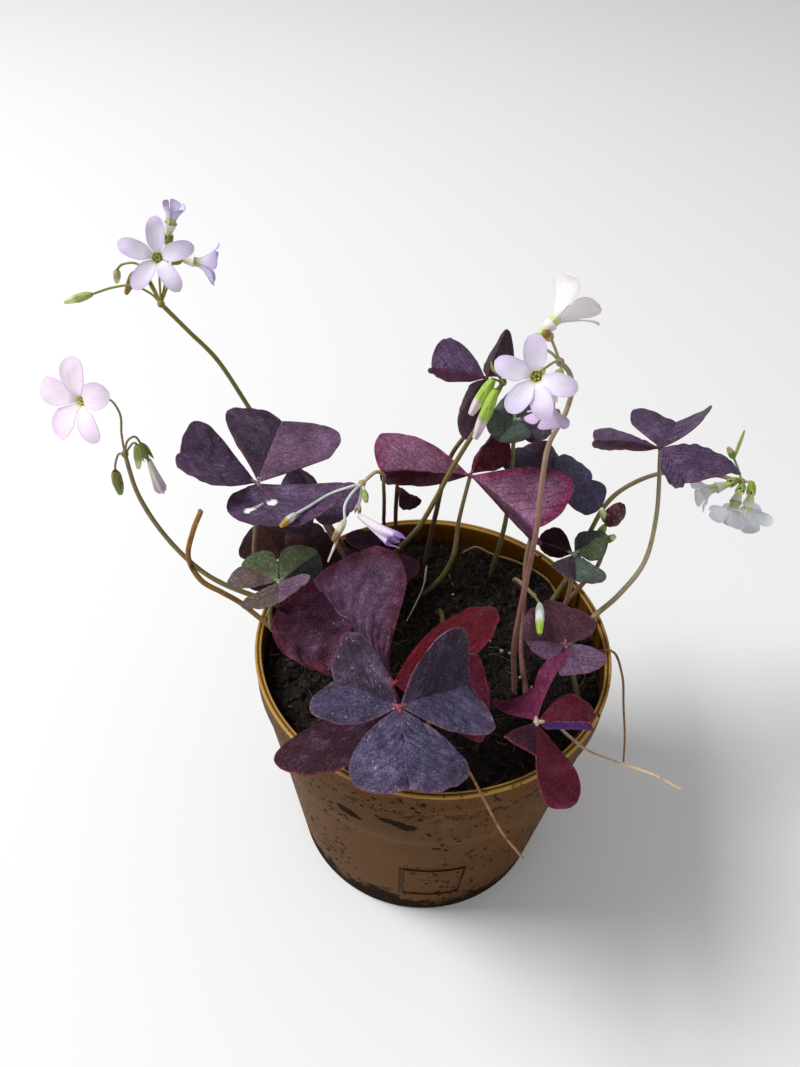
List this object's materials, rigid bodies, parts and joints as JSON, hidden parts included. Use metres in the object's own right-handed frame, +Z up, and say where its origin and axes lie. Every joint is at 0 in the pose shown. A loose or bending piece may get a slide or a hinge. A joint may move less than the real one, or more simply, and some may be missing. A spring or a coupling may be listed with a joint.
{
  "type": "potted purple shamrock",
  "caption": "Purple-leaved oxalis with folded three-part leaves and lilac-white flowers, growing in a round nursery pot of soil.",
  "frame": {"origin": "centre of the pot's underside", "axes": "+Z up, along the pot's axis; -Y towards the plant's front, +X to the right as seen from the front"},
  "size_m": [0.2589, 0.1826, 0.2435],
  "materials": {
    "leaf_slate": "slate-purple leaf skin, soft satin, paler worn scratches",
    "leaf_plum": "dark plum-brown leaf skin, satin, redder towards the edges",
    "leaf_red": "wine-red to crimson leaf skin, satin",
    "leaf_green": "grey-green leaf skin with a purple cast along the edges",
    "leaf_stalk": "smooth fleshy stalk, olive to pinkish brown",
    "flower_stem": "smooth fleshy stem, yellow-green",
    "petal": "thin matt petal, lilac-white with fine veins and a yellow-green throat",
    "dry_stem": "dry straw-brown stem and fibre, matt",
    "pot_plastic": "ochre-brown moulded plastic, satin, dusty with soil smears",
    "potting_soil": "near-black crumbly potting soil with fibres and white perlite"
  },
  "bodies": {
    "root": {"leaf_west_high_blade": "leaf_slate", "leaf_west_high_stalk": "leaf_stalk", "leaf_west_low_blade": "leaf_plum", "leaf_west_low_stalk": "leaf_stalk", "leaf_west_back_blade": "leaf_slate", "leaf_west_back_stalk": "leaf_stalk", "leaf_west_green_blade": "leaf_green", "leaf_west_green_stalk": "leaf_stalk", "leaf_front_slate_blade": "leaf_slate", "leaf_front_slate_stalk": "leaf_stalk", "leaf_front_big_blade": "leaf_plum", "leaf_front_big_stalk": "leaf_stalk", "leaf_front_red_blade": "leaf_red", "leaf_front_red_stalk": "leaf_stalk", "leaf_east_brown_blade": "leaf_plum", "leaf_east_brown_stalk": "leaf_stalk", "leaf_east_green_blade": "leaf_green", "leaf_east_green_stalk": "leaf_stalk", "leaf_far_east_blade": "leaf_slate", "leaf_far_east_stalk": "leaf_stalk", "leaf_north_red_blade": "leaf_red", "leaf_north_red_stalk": "leaf_stalk", "leaf_north_tall_blade": "leaf_plum", "leaf_north_tall_stalk": "leaf_stalk", "leaf_north_green_blade": "leaf_green", "leaf_north_green_stalk": "leaf_stalk", "leaf_north_blue_blade": "leaf_slate", "leaf_north_blue_stalk": "leaf_stalk", "leaf_northwest_dark_blade": "leaf_plum", "leaf_northwest_dark_stalk": "leaf_stalk", "umbel_west_tall": "flower_stem", "umbel_west_low": "flower_stem", "umbel_north_buds": "flower_stem", "umbel_middle_tall": "flower_stem", "umbel_far_east": "flower_stem", "umbel_east_young": "flower_stem", "umbel_nodding": "flower_stem", "umbel_dried": "dry_stem", "bloom_west_star": "petal", "bloom_west_cup": "petal", "bloom_west_droop": "petal", "bloom_low_star": "petal", "bloom_low_closed": "petal", "bloom_middle_star": "petal", "bloom_middle_back": "petal", "bloom_middle_side": "petal", "bloom_east_left": "petal", "bloom_east_front": "petal", "bloom_east_back": "petal", "bloom_faded": "petal", "bloom_wilted": "petal", "stem_dead": "dry_stem", "strand_soil": "dry_stem", "strand_root": "dry_stem", "strand_front": "dry_stem", "strand_straw": "dry_stem", "strand_east": "dry_stem", "leaf_withered": "leaf_plum", "pot": "pot_plastic", "soil": "potting_soil"}
  },
  "joints": []
}
